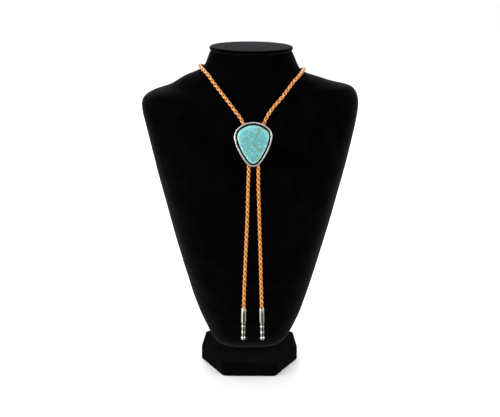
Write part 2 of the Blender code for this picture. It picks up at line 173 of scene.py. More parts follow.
class SlideSettings(PropertyGroup):
    width: metres("Width", "Of the whole slide", 0.043)
    height: metres("Height", "Of the whole slide", 0.0504)
    corner: metres("Corner radius", "Of the two upper corners", 0.0135)
    corner_rise: metres("Corner rise", "Of the corners' centres over the slide's middle", 0.0086)
    toe: metres("Toe radius", "Of the lower end", 0.0099)
    flank: metres("Flank radius", "Of the long sides", 0.063)
    rim_width: metres("Rim width", "Of the bright outer band", 0.0017)
    rim_height: metres("Rim height", "Over the back of the plate", 0.0034)
    channel: metres("Channel width", "Of the dark groove round the stone", 0.0014)
    bezel_wall: metres("Bezel wall", "Thickness of the band that holds the stone", 0.0003)
    bezel_height: metres("Bezel height", "Over the back of the plate", 0.0029)
    plate: metres("Plate thickness", "Of the back plate", 0.0015)
    stone_edge: metres("Stone edge", "Height of the stone's upright edge", 0.0017)
    stone_dome: metres("Stone dome", "Rise of the crown over that edge", 0.0028)
    stone_gap: metres("Stone gap", "Between the stone and the silver", 0.0003)
    silver: hue("Silver", "The polished rim", (0.86, 0.79, 0.77))
    blue: hue("Turquoise blue", "The stone's main colour", (0.047, 0.4, 0.484))
    green: hue("Turquoise green", "The stone's paler upper left", (0.078, 0.395, 0.432))
    matrix: hue("Matrix", "The tan web in the stone", (0.16, 0.17, 0.06))


class TipSettings(PropertyGroup):
    length: metres("Length", "From the mouth to the end of the ball", 0.0392)
    diameter: metres("Barrel diameter", "Of the straight upper part", 0.0056)
    barrel: metres("Barrel length", "Of the straight upper part", 0.017)
    step: metres("Step", "Length of the slope under the barrel", 0.0012)
    waist: metres("Waist diameter", "Of the slimmer lower half", 0.0044)
    bead: metres("Bead diameter", "Of the two beads of the lower half", 0.005)
    bead_length: metres("Bead length", "Along the tip", 0.003)
    bead_pitch: metres("Bead pitch", "Between the two beads", 0.007)
    ball: metres("Ball diameter", "Of the ball at the end", 0.0055)
    socket: metres("Socket depth", "Of the hole that takes the cord's end", 0.011)
    nickel: hue("Nickel", "The tips' metal", (0.73, 0.69, 0.61))
    # The colour that the recesses between the slope, the beads and the ball are darkened towards.
    recess_colour: hue("Tarnish", "What has gathered between the beads", (0.13, 0.11, 0.075))


class StageSettings(PropertyGroup):
    floor: hue("Floor", "The studio floor", (0.94, 0.95, 0.97))
    left_power: watts("Left light", "Watts of the main light", 7.0)
    low_power: watts("Low left light", "Watts of the light that gilds the left edges", 5.6)
    right_power: watts("Right light", "Watts of the fill light", 9.0)
    top_power: watts("Top light", "Watts of the light above and behind", 22.0)
    lens: bpy.props.FloatProperty(
        name="Lens", description="Focal length", default=109.3, subtype="DISTANCE_CAMERA"
    )


# Materials

class NodeNet:
    """The nodes of a material or a world while they are being joined up."""

    def __init__(self, tree):
        self.tree = tree
        self.made = 0

    def set(self, socket, value):
        """Feed an input socket: with another node's output, or with a value. A colour gets its alpha."""
        if isinstance(value, bpy.types.NodeSocket):
            self.tree.links.new(value, socket)
        elif socket.type == "RGBA":
            socket.default_value = (*value, 1.0)
        else:
            socket.default_value = value

    def add(self, kind, inputs=None, **settings):
        """A shader node with its settings. An input is a value, or the output socket that feeds it."""
        node = self.tree.nodes.new("ShaderNode" + kind)
        self.made += 1
        node.location = (-220.0 * (self.made // 4 + 1), 320.0 - 220.0 * (self.made % 4))
        for setting, value in settings.items():
            setattr(node, setting, value)
        for socket, value in (inputs or {}).items():
            self.set(node.inputs[socket], value)
        return node

    def sum(self, operation, first, second=0.0, third=0.0):
        """One step of arithmetic on numbers."""
        node = self.add("Math", {0: first, 1: second, 2: third}, operation=operation)
        return node.outputs["Value"]

    def ramp(self, value, low, high, start=0.0, end=1.0):
        """A number moved smoothly from one range to another."""
        inputs = {"Value": value, "From Min": low, "From Max": high, "To Min": start, "To Max": end}
        return self.add("MapRange", inputs, interpolation_type="SMOOTHSTEP").outputs["Result"]


class Finish(NodeNet):
    """A Principled material and the patterns that its finishes are made of."""

    def __init__(self, name, **sockets):
        self.material = bpy.data.materials.new(name)
        self.material.use_nodes = True
        super().__init__(self.material.node_tree)
        self.shader = self.tree.nodes["Principled BSDF"]
        for socket, value in sockets.items():
            self.feed(socket.replace("_", " "), value)
        self.place = self.add("TexCoord").outputs["Object"]

    def feed(self, socket, value):
        """Give a socket of the shader a value or an output."""
        self.set(self.shader.inputs[socket], value)

    def mix(self, share, first, second):
        """Two colours mixed by a share."""
        return self.add("Mix", {0: share, 6: first, 7: second}, data_type="RGBA").outputs[2]

    def vector(self, operation, inputs, output="Vector"):
        """One step of arithmetic on vectors."""
        return self.add("VectorMath", inputs, operation=operation).outputs[output]

    def mapped(self, place, kind="POINT", **inputs):
        """A place moved, turned or stretched."""
        return self.add("Mapping", {"Vector": place, **inputs}, vector_type=kind).outputs[0]

    def written(self, name):
        """A number that the piece's mesh carries."""
        return self.add("Attribute", attribute_name=name).outputs["Fac"]

    def cloud(self, scale, detail=2.0, roughness=0.5, distortion=0.0, place=None):
        """Soft noise at a scale given in features a metre."""
        if place is None:
            place = self.place
        node = self.add("TexNoise", {"Vector": place, "Scale": scale, "Detail": detail,
                                     "Roughness": roughness, "Distortion": distortion})
        return node.outputs["Fac"]

    def cells(self, place, scale, feature="F1"):
        """Voronoi cells at a scale given in cells a metre."""
        return self.add("TexVoronoi", {"Vector": place, "Scale": scale}, feature=feature).outputs

    def bump(self, height, distance, strength, before=None):
        """A bump of a real height, on top of another bump if one is given."""
        inputs = {"Height": height, "Distance": distance, "Strength": strength}
        if before is not None:
            inputs["Normal"] = before
        return self.add("Bump", inputs).outputs["Normal"]


def velvet_finish(name, sheen, deep, brushed_up):
    """Short black pile: almost no light straight on, a soft grey at a slant, brushed a little unevenly."""
    finish = Finish(name, Roughness=1.0, Sheen_Weight=sheen, Sheen_Roughness=0.28,
                    Sheen_Tint=(0.9, 0.88, 1.0), Specular_IOR_Level=0.0)
    brushed = finish.ramp(finish.cloud(38.0, 3.0, 0.55, 0.6), 0.35, 0.7)
    pile = finish.cloud(2600.0, roughness=0.6)
    clumps = finish.cloud(520.0, 3.0, 0.6)
    colour = finish.mix(brushed, deep, brushed_up)
    finish.feed("Base Color", finish.mix(finish.ramp(pile, 0.3, 0.8, 0.0, 0.5), colour, deep))
    finish.feed("Normal", finish.bump(pile, 0.0003, 0.8, finish.bump(clumps, 0.0005, 0.5)))
    return finish.material


def shared_material(name, maker, *wanted):
    """A material that several pieces wear, made the first time it is asked for.

    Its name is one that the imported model's own plain materials don't have, or the plain one would be found.
    """
    return bpy.data.materials.get(name) or maker(*wanted)


# Making pieces

def placed(name, data):
    """A new object in the scene that shows a mesh, a light or a camera."""
    thing = bpy.data.objects.new(name, data)
    bpy.context.scene.collection.objects.link(thing)
    return thing


def as_object(name, shape, materials=()):
    """A new object with a bmesh in it. The bmesh is used up."""
    mesh = bpy.data.meshes.new(name)
    shape.to_mesh(mesh)
    shape.free()
    for material in materials:
        mesh.materials.append(material)
    return placed(name, mesh)


def finished_piece(name, shape, materials, nodes, smooth_angle=radians(40.0)):
    """Turn a bmesh into a piece that rides on the object and stands for its nodes of the model."""
    piece = as_object(name, shape, materials)
    piece.data.shade_smooth()
    piece.data.set_sharp_from_angle(angle=smooth_angle)
    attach(piece, BODY)
    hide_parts(*nodes)
    return piece


def tidy_shell(shape):
    """Merge doubled vertices and turn every face outwards."""
    bmesh.ops.remove_doubles(shape, verts=shape.verts, dist=WELD)
    bmesh.ops.recalc_face_normals(shape, faces=shape.faces)


def of_kind(kind, items):
    """Those of an operator's results that are vertices, edges or faces."""
    return [item for item in items if isinstance(item, kind)]


def lift(shape, vertices, height):
    """Move vertices straight up."""
    bmesh.ops.translate(shape, vec=(0.0, 0.0, height), verts=vertices)


def ring_inwards(shape, face, share, rise, centre=Matrix()):
    """Draw a face in to a share of its size and lift it, with a ring of new faces left round it."""
    bmesh.ops.inset_region(shape, faces=[face])
    bmesh.ops.scale(shape, vec=(share, share, 1.0), verts=face.verts, space=centre)
    lift(shape, face.verts, rise)


def round_edges(shape, edges, width, segments):
    """Round edges off by a width."""
    bmesh.ops.bevel(shape, geom=edges, offset=width, segments=segments, profile=0.5, affect="EDGES",
                    material=-1)


def merged_copy(node):
    """A bmesh of one of the model's nodes with its loose triangles joined into quads."""
    shape = bmesh.new()
    shape.from_mesh(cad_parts[node].data)
    bmesh.ops.remove_doubles(shape, verts=shape.verts, dist=WELD)
    bmesh.ops.join_triangles(shape, faces=shape.faces, angle_face_threshold=radians(40.0),
                             angle_shape_threshold=radians(60.0))
    return shape


def through_modifiers(shape, name, modifiers):
    """The bmesh that a list of modifiers makes of a bmesh."""
    helper = as_object(name, shape)
    mesh = helper.data
    for kind, settings in modifiers:
        modifier = helper.modifiers.new(kind.lower(), kind)
        for setting, value in settings.items():
            setattr(modifier, setting, value)
    bpy.context.view_layer.update()
    graph = bpy.context.evaluated_depsgraph_get()
    result = bmesh.new()
    result.from_mesh(helper.evaluated_get(graph).to_mesh())
    bpy.data.objects.remove(helper, do_unlink=True)
    bpy.data.meshes.remove(mesh)
    return result


def lie_of_pile(shape, relief):
    """Lift and sink the velvet by clumps of pile and by slow waves in the cloth."""
    clump_scale = 260.0
    wave_scale = 45.0
    wave_height = 1.5  # over the clumps' height
    shape.normal_update()
    for vertex in shape.verts:
        place = vertex.co
        rise = noise.noise(place * clump_scale) + wave_height * noise.noise(place * wave_scale)
        vertex.co = place + vertex.normal * (rise * relief)


def velvet_piece(name, node, shape, grain, smoothing, shaded_copy=False):
    """Cover a shape in velvet: an even soft mesh with the lie of the pile in it."""
    look = bpy.context.scene.bolo_velvet
    steps = [("REMESH", {"mode": "VOXEL", "voxel_size": grain, "adaptivity": 0.0}),
             ("SMOOTH", {"factor": 0.5, "iterations": smoothing})]
    soft = through_modifiers(shape, name + "_core", steps)
    lie_of_pile(soft, look.relief)
    # the base wears a shaded copy of the velvet, its colours and sheen set to paint the light on it
    if shaded_copy:
        wanted = ("base_shaded_velvet", look.sheen * look.base_shaded_sheen, look.base_shaded_colour, look.base_shaded_worn)
    else:
        wanted = ("black_velvet", look.sheen, look.colour, look.worn)
    material = shared_material(wanted[0], velvet_finish, *wanted)
    return finished_piece(name, soft, [material], [node], smooth_angle=pi)


class BOLO_OT_velvet_bust(Operator):
    """Cover the neck, shoulders and chest in velvet"""
    bl_idname = "bolo.velvet_bust"
    bl_label = "Velvet Bust"

    def execute(self, context):
        look = context.scene.bolo_velvet
        sharp = radians(50.0)  # edges that bend more than this stay sharp
        shape = merged_copy("bust_body")
        crease = shape.edges.layers.float.new("crease_edge")
        for edge in shape.edges:
            if edge.calc_face_angle(0.0) > sharp:
                edge[crease] = 1.0
        rounded = through_modifiers(shape, "bust_rounded", [("SUBSURF", {"levels": 2, "render_levels": 2})])
        velvet_piece("bust_velvet", "bust_body", rounded, look.grain, 4)
        return {"FINISHED"}


class BOLO_OT_neck_lid(Operator):
    """Put the velvet lid on the neck"""
    bl_idname = "bolo.neck_lid"
    bl_label = "Neck Lid"

    def execute(self, context):
        look = context.scene.bolo_velvet
        low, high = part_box("neck_cap")
        size = high - low
        middle = (low + high) / 2.0
        crown = 0.0008  # rise of the lid's middle over its edge
        rounding = 0.24  # of its edges, as a share of its thickness
        rings = 10
        shape = bmesh.new()
        disc = bmesh.ops.create_circle(shape, cap_ends=True, segments=96, radius=0.5)
        bmesh.ops.scale(shape, vec=(size.x, size.y, 1.0), verts=disc["verts"])
        raised = bmesh.ops.extrude_face_region(shape, geom=shape.faces[:])
        lid = of_kind(bmesh.types.BMVert, raised["geom"])
        lift(shape, lid, size.z - crown)
        tidy_shell(shape)
        rims = [edge for edge in shape.edges if abs(edge.calc_face_angle(0.0) - pi / 2.0) < 0.2]
        round_edges(shape, rims, size.z * rounding, 4)
        top = max(shape.faces, key=lambda face: face.calc_center_median().z)
        for ring in range(rings):
            narrower = (rings - ring) / (rings + 1 - ring)
            ring_inwards(shape, top, narrower, crown * (2 * (rings - ring) + 1) / (rings + 1) ** 2)
        bmesh.ops.translate(shape, vec=(middle.x, middle.y, low.z), verts=shape.verts)
        velvet_piece("neck_cap_velvet", "neck_cap", shape, look.grain / 2.0, 2)
        return {"FINISHED"}


class BOLO_OT_base_plate(Operator):
    """Cover the base plate in velvet"""
    bl_idname = "bolo.base_plate"
    bl_label = "Base Plate"

    def execute(self, context):
        grain = context.scene.bolo_velvet.grain * 0.45  # fine enough for its straight edges
        velvet_piece("base_velvet", "base", merged_copy("base"), grain, 2, shaded_copy=True)
        return {"FINISHED"}


# Cord

def smooth_route(points, count):
    """Evenly spaced points on a smooth curve through the route's own points."""
    route = [Vector(point) for point in points]
    route = [2.0 * route[0] - route[1]] + route + [2.0 * route[-1] - route[-2]]
    fine = []
    steps = 60
    for before, start, end, after in zip(route, route[1:], route[2:], route[3:]):
        first = (start - before).length ** 0.5
        second = (end - start).length ** 0.5
        third = (after - end).length ** 0.5
        leave = (start - before) / first - (end - before) / (first + second) + (end - start) / second
        arrive = (end - start) / second - (after - start) / (second + third) + (after - end) / third
        for step in range(steps):
            t = step / steps
            fine.append((2 * t ** 3 - 3 * t ** 2 + 1) * start + (t ** 3 - 2 * t ** 2 + t) * second * leave
                        + (3 * t ** 2 - 2 * t ** 3) * end + (t ** 3 - t ** 2) * second * arrive)
    fine.append(route[-2])
    lengths = [0.0]
    for here, there in zip(fine, fine[1:]):
        lengths.append(lengths[-1] + (there - here).length)
    evenly = []
    place = 0
    for index in range(count):
        target = lengths[-1] * index / (count - 1)
        while place < len(fine) - 2 and lengths[place + 1] < target:
            place += 1
        share = (target - lengths[place]) / (lengths[place + 1] - lengths[place])
        evenly.append(fine[place].lerp(fine[place + 1], share))
    return evenly


class CordLine:
    """The cord's centreline with a steady sideways direction at every point of it."""

    def __init__(self, count):
        self.points = smooth_route(CORD_ROUTE, count)
        self.length = sum((there - here).length for here, there in zip(self.points, self.points[1:]))
        along = [(self.points[min(index + 1, count - 1)] - self.points[max(index - 1, 0)]).normalized()
                 for index in range(count)]
        outward = Vector((0.0, -1.0, 0.0))
        side = (outward - along[0] * outward.dot(along[0])).normalized()
        sides = [side]
        for before, after in zip(along, along[1:]):
            side = before.rotation_difference(after) @ side
            side = (side - after * side.dot(after)).normalized()
            sides.append(side)
        # what is left over at the far end is spread evenly along the cord, so both ends face the front
        wanted = (outward - along[-1] * outward.dot(along[-1])).normalized()
        slip = atan2(sides[-1].cross(wanted).dot(along[-1]), sides[-1].dot(wanted))
        self.sides = [Matrix.Rotation(slip * index / (count - 1), 3, line) @ side
                      for index, (side, line) in enumerate(zip(sides, along))]
        self.others = [line.cross(side) for side, line in zip(self.sides, along)]

    def point(self, distance, angle, radius):
        """A point round the centreline, at a distance along it."""
        place = min(max(distance / self.length, 0.0), 1.0) * (len(self.points) - 1)
        index = min(int(place), len(self.points) - 2)
        share = place - index
        middle = self.points[index].lerp(self.points[index + 1], share)
        side = self.sides[index].lerp(self.sides[index + 1], share)
        other = self.others[index].lerp(self.others[index + 1], share)
        return middle + (side * cos(angle) + other * sin(angle)) * radius


def signed_power(value, power):
    """A power of a number's size, with the number's sign."""
    return copysign(abs(value) ** power, value)


def leather_finish():
    """Waxed tan leather: grain along the lace, rubbed paler here and there, a painted highlight on the laces'
    crowns, painted shade where they sink, and burnished dark edges that also paint the shade between them.
    """
    look = bpy.context.scene.bolo_braid
    finish = Finish("waxed_leather", Roughness=0.42, Coat_Weight=1.0, Coat_Roughness=0.2, Coat_IOR=1.85,
                    Specular_IOR_Level=0.15)
    lace = finish.add("UVMap", uv_map="lace").outputs["UV"]
    across = finish.add("SeparateXYZ", {"Vector": lace}).outputs["X"]
    stretch = finish.mapped(lace, Scale=(8.0, 2.2, 1.0))
    grain = finish.cloud(3.0, 4.0, 0.6, 0.3, stretch)
    rubbed = finish.ramp(finish.cloud(0.55, place=stretch), 0.4, 0.68)
    tint = finish.written("lace_tint")
    depth = finish.written("lace_depth")
    # the section runs round the lace, so its edges lie at a quarter and three quarters of the way
    edge = finish.sum("ABSOLUTE", finish.sum("COSINE", finish.sum("MULTIPLY", across, 2.0 * pi)))
    # dark along the laces' edges: burnished leather, and painted shade where the laces meet
    burnished = finish.ramp(edge, 0.72, 1.0)
    # paler on the laces' crowns: rubbed wear there, and a painted highlight where light catches the tops
    crown = finish.ramp(depth, 0.2, 0.0, 0.0, 0.2)
    colour = finish.mix(finish.sum("MULTIPLY_ADD", rubbed, 0.4, crown), look.leather, look.pale)
    russet = (0.66, 0.2, 0.01)
    grain_line = (0.35, 0.11, 0.03)
    dark_edge_and_shade = (0.16, 0.045, 0.018)
    colour = finish.mix(finish.ramp(tint, 0.0, 1.0, 0.0, 0.5), colour, russet)
    colour = finish.mix(finish.ramp(grain, 0.3, 0.75, 0.3, 0.0), colour, grain_line)
    colour = finish.mix(finish.sum("MULTIPLY", burnished, 0.8), colour, dark_edge_and_shade)
    # painted shade: the deeper a point lies between the laces, the more of the crevice colour it takes
    colour = finish.mix(finish.ramp(depth, 0.28, 0.62, 0.0, 0.97), colour, look.crevice_shade)
    finish.feed("Base Color", colour)
    finish.feed("Roughness", finish.ramp(grain, 0.2, 0.8, 0.34, 0.55))
    finish.feed("Normal", finish.bump(grain, 0.00008, 0.7))
    return finish.material


def core_shade_finish():
    """The core that shows between the laces: a real part, coloured near black as painted shade in the gaps.
    """
    look = bpy.context.scene.bolo_braid
    finish = Finish("cord_core_shade", Roughness=0.75, Specular_IOR_Level=0.2)
    fibres = finish.cloud(2200.0, 3.0)
    worn_fibre = (0.055, 0.02, 0.02)
    finish.feed("Base Color", finish.mix(fibres, look.core, worn_fibre))
    finish.feed("Normal", finish.bump(fibres, 0.0001, 0.6))
    return finish.material


class BOLO_OT_braided_cord(Operator):
    """Braid the cord from four leather laces round a dark core"""
    bl_idname = "bolo.braided_cord"
    bl_label = "Braided Cord"

    POINTS = 1401  # of the centreline
    ROUND = 12  # points round a lace
    STEPS_PER_PITCH = 20
    CORE_ROUND = 10

    def wrapped_grid(self, shape, steps, around, place, material):
        """A grid of faces bent into a tube by a function of how far along and how far round a point lies."""
        uv = shape.loops.layers.uv.verify()
        depth = shape.verts.layers.float["lace_depth"]
        made = bmesh.ops.create_grid(shape, x_segments=around, y_segments=steps, size=0.5, calc_uvs=True)
        faces = {face for vertex in made["verts"] for face in vertex.link_faces}
        for face in faces:
            face.material_index = material
            for loop in face.loops:
                loop[uv].uv = (loop.vert.co.x + 0.5, (loop.vert.co.y + 0.5) * steps / self.STEPS_PER_PITCH)
        for vertex in made["verts"]:
            vertex.co, vertex[depth] = place(vertex.co.y + 0.5, vertex.co.x + 0.5)
        return faces

    @staticmethod
    def lace_place(line, look, hand, start, seed):
        """Where the points of one lace lie. hand is 1 or -1, the way that it goes round the cord."""
        half_width = look.lace_width / 2.0
        half_thickness = look.lace_thickness / 2.0
        under = 0.00037  # how far a lace rises and sinks as it passes the others
        ease = 0.06  # how gently it goes from over to under
        uneven_width = 0.07
        width_scale = 210.0
        uneven_angle = 0.05
        angle_scale = 140.0
        middle = look.diameter / 2.0 - half_thickness - under
        slant = atan(2.0 * pi * middle / look.pitch)

        def place(along, round_share):
            distance = along * line.length
            turn = 2.0 * pi * round_share
            wander = noise.noise(Vector((distance * angle_scale, seed, 0.0)))
            swell = 1.0 + uneven_width * noise.noise(Vector((distance * width_scale, seed, 7.0)))
            across = half_width * swell * signed_power(cos(turn), 0.9)
            thick = half_thickness * signed_power(sin(turn), 0.8)
            angle = hand * 2.0 * pi * distance / look.pitch + start + uneven_angle * wander
            angle += across * cos(slant) / middle
            # the laces of one hand pass over at the front and the back, and under at the sides
            passing = cos(2.0 * angle)
            passing /= sqrt(passing * passing + ease)
            radius = middle + hand * under * passing + thick
            sunk = (look.diameter / 2.0 - radius) / (2.0 * (half_thickness + under))
            return line.point(distance - hand * across * sin(slant), angle, radius), sunk

        return place

    def execute(self, context):
        look = context.scene.bolo_braid
        line = CordLine(self.POINTS)
        steps = int(line.length / look.pitch * self.STEPS_PER_PITCH)
        shape = bmesh.new()
        tint = shape.faces.layers.float.new("lace_tint")
        shape.verts.layers.float.new("lace_depth")
        # for each lace the way that it goes round, where it starts and how russet it is
        laces = [(1, 0.0, 0.15), (1, pi, 0.8), (-1, 0.0, 0.45), (-1, pi, 0.0)]
        apart = 3.7  # keeps the laces' noise from being the same
        for index, (hand, start, shade) in enumerate(laces):
            place = self.lace_place(line, look, hand, start, apart * index)
            for face in self.wrapped_grid(shape, steps, self.ROUND, place, 0):
                face[tint] = shade
        core_radius = look.diameter * look.core_share

        def core_place(along, round_share):
            return line.point(along * line.length, 2.0 * pi * round_share, core_radius), 1.0

        self.wrapped_grid(shape, steps // 3, self.CORE_ROUND, core_place, 1)
        bmesh.ops.remove_doubles(shape, verts=shape.verts, dist=1e-6)
        bmesh.ops.holes_fill(shape, edges=shape.edges, sides=0)
        bmesh.ops.recalc_face_normals(shape, faces=shape.faces)
        materials = [leather_finish(), core_shade_finish()]
        cord = finished_piece("braided_cord", shape, materials, ["cord"], pi)
        cord.data.uv_layers[0].name = "lace"
        return {"FINISHED"}


# Slide

def slide_matrix():
    """From the slide's own axes, across, up and out of the plate, to the model's."""
    tilt = Matrix.Rotation(pi / 2.0 - SLIDE_LEAN, 4, "X") @ Matrix.Rotation(SLIDE_TURN, 4, "Z")
    return Matrix.Translation(SLIDE_PLACE) @ tilt


def slide_face(inset, height):
    """A bmesh with one face, the slide's outline drawn in by an inset, spun from arcs and mirrored."""
    look = bpy.context.scene.bolo_slide
    corner_x = look.width / 2.0 - look.corner
    fall = look.corner_rise - look.height / 2.0
    crown = (look.corner ** 2 - corner_x ** 2 - fall ** 2) / (2.0 * (fall + look.corner))
    crown_centre = Vector((0.0, look.height / 2.0 - crown))
    corner_centre = Vector((corner_x, look.corner_rise))
    toe_centre = Vector((0.0, look.toe - look.height / 2.0))
    # the flank's centre lies at known distances from the corner's and the toe's
    between = toe_centre - corner_centre
    to_corner = look.flank - look.corner
    to_toe = look.flank - look.toe
    along = (to_corner ** 2 - to_toe ** 2 + between.length_squared) / (2.0 * between.length)
    aside = sqrt(to_corner ** 2 - along ** 2)
    unit = between.normalized()
    flank_centre = corner_centre + unit * along + Vector((unit.y, -unit.x)) * aside
    joins = [pi / 2.0]
    for start, end in ((crown_centre, corner_centre), (flank_centre, corner_centre),
                       (flank_centre, toe_centre)):
        joins.append(atan2(end.y - start.y, end.x - start.x))
    joins.append(-pi / 2.0)
    shape = bmesh.new()
    last = shape.verts.new((0.0, look.height / 2.0 - inset, height))
    centres = (crown_centre, corner_centre, flank_centre, toe_centre)
    for centre, first, end in zip(centres, joins, joins[1:]):
        swept = bmesh.ops.spin(shape, geom=[last], cent=(*centre, height), axis=(0.0, 0.0, 1.0),
                               angle=end - first, steps=14)
        last = of_kind(bmesh.types.BMVert, swept["geom_last"])[0]
    bmesh.ops.mirror(shape, geom=shape.verts[:] + shape.edges[:], axis="X", merge_dist=WELD)
    bmesh.ops.remove_doubles(shape, verts=shape.verts, dist=WELD)
    face = bmesh.ops.contextual_create(shape, geom=shape.edges[:])["faces"][0]
    if face.normal.z < 0.0:
        bmesh.ops.reverse_faces(shape, faces=[face])
    return shape, face


def raised_face(shape, face, height):
    """The upper face of a plate of a height that is drawn up from a face. The lower face stays."""
    drawn = bmesh.ops.extrude_face_region(shape, geom=[face], use_keep_orig=True)
    top = of_kind(bmesh.types.BMFace, drawn["geom"])[0]
    lift(shape, top.verts, height)
    return top


def step_face(shape, face, steps):
    """Move a face inwards and up or down along its normal, one ring of faces for each step."""
    for inward, rise in steps:
        bmesh.ops.inset_region(shape, faces=[face], thickness=inward, depth=rise, use_even_offset=True,
                               use_boundary=True)


def silver_finish():
    """Cast silver with a satin polish, fine scratches and cloudy patches dulled to grey."""
    look = bpy.context.scene.bolo_slide
    finish = Finish("polished_silver", Metallic=1.0, Roughness=0.3)
    clouds = finish.cloud(420.0, 4.0, 0.6)
    pits = finish.cloud(2400.0, 3.0)
    dulled = finish.ramp(clouds, 0.48, 0.78, 0.0, 0.3)
    grey = (0.42, 0.37, 0.36)
    finish.feed("Base Color", finish.mix(dulled, look.silver, grey))
    finish.feed("Roughness", finish.ramp(clouds, 0.3, 0.8, 0.2, 0.42))
    finish.feed("Normal", finish.bump(pits, 0.00003, 0.6, finish.bump(clouds, 0.00006, 0.5)))
    return finish.material


def black_channel_finish():
    """The black groove and bezel round the stone."""
    finish = Finish("black_channel", Roughness=0.6, Specular_IOR_Level=0.12)
    patches = finish.cloud(900.0, 4.0, 0.65)
    black = (0.0015, 0.003, 0.0026)
    worn_black = (0.007, 0.011, 0.01)
    finish.feed("Base Color", finish.mix(patches, black, worn_black))
    finish.feed("Roughness", finish.ramp(patches, 0.3, 0.8, 0.45, 0.75))
    finish.feed("Normal", finish.bump(patches, 0.00005, 0.8))
    return finish.material


def turquoise_finish():
    """Polished turquoise: blue cells parted by a fuzzy tan web, paler and greener to the upper left."""
    look = bpy.context.scene.bolo_slide
    finish = Finish("webbed_turquoise", Roughness=0.22, Coat_Weight=0.55, Coat_Roughness=0.08,
                    Specular_IOR_Level=0.5)
    # the stone's own axes, across, up and out of the slide
    tilt = slide_matrix().to_euler()
    place = finish.mapped(finish.place, "TEXTURE", Location=SLIDE_PLACE, Rotation=tilt)
    axes = finish.add("SeparateXYZ", {"Vector": place}).outputs
    warp = finish.add("TexNoise", {"Vector": place, "Scale": 260.0, "Detail": 3.0})
    warped = finish.vector("SUBTRACT", {0: warp.outputs["Color"], 1: (0.5, 0.5, 0.5)})
    warped = finish.vector("SCALE", {0: warped, "Scale": 0.0042})
    warped = finish.vector("ADD", {0: place, 1: warped})
    # broad change of colour over the stone
    slope = finish.sum("MULTIPLY_ADD", axes["X"], -0.6, axes["Y"])
    broad = finish.sum("ADD", finish.ramp(slope, -0.012, 0.024), finish.cloud(70.0, place=place))
    colour = finish.mix(finish.ramp(broad, 0.55, 1.45), look.blue, look.green)
    # painted highlight: paler where the dome runs down to the bezel, where light catches the curved edge
    painted_edge_highlight = (0.4, 0.85, 0.85)
    colour = finish.mix(finish.ramp(axes["Z"], 0.0056, 0.0038, 0.0, 0.72), colour, painted_edge_highlight)
    # each cell has its own shade, and soft greener patches lie over them
    cell_scale = 265.0
    light_cell = (0.17, 0.6, 0.65)
    green_patch = (0.08, 0.35, 0.33)
    shade = finish.cells(warped, cell_scale)["Color"]
    value = finish.add("SeparateColor", {"Color": shade}).outputs["Red"]
    colour = finish.mix(finish.ramp(value, 0.0, 1.0, 0.0, 0.45), colour, light_cell)
    soft = finish.cloud(420.0, 4.0, 0.6, place=place)
    colour = finish.mix(finish.ramp(soft, 0.4, 0.75, 0.0, 0.45), colour, green_patch)
    # the web runs along the cells' borders, dense in the middle, at the upper right and at the toe
    border = finish.cells(warped, cell_scale, "DISTANCE_TO_EDGE")["Distance"]
    dense = finish.cloud(170.0, place=place)
    dense_places = [((-0.001, -0.003, 0.004), 0.02, 0.3), ((0.007, 0.015, 0.004), 0.009, 0.34),
                    ((0.003, -0.018, 0.004), 0.007, 0.24)]
    for middle, reach, strength in dense_places:
        away = finish.vector("DISTANCE", {0: place, 1: middle}, "Value")
        dense = finish.sum("ADD", dense, finish.ramp(away, 0.0, reach, strength, 0.0))
    dense = finish.ramp(dense, 0.53, 0.76)
    inner = finish.vector("DISTANCE", {0: place, 1: (0.0, -0.002, 0.004)}, "Value")
    faint = finish.ramp(inner, 0.012, 0.022, 0.8, 0.3)
    line = finish.ramp(border, 0.02, 0.15, 1.0, 0.0)
    fuzz = finish.ramp(border, 0.05, 0.36, 0.55, 0.0)
    web = finish.sum("MULTIPLY", finish.sum("MAXIMUM", line, fuzz), dense)
    web = finish.sum("MAXIMUM", web, finish.sum("MULTIPLY", line, faint))
    colour = finish.mix(finish.sum("MULTIPLY", web, 0.8), colour, look.matrix)
    finish.feed("Base Color", colour)
    finish.feed("Roughness", finish.ramp(web, 0.0, 1.0, 0.2, 0.42))
    finish.feed("Normal", finish.bump(finish.sum("MULTIPLY", web, -1.0), 0.00006, 0.6))
    return finish.material


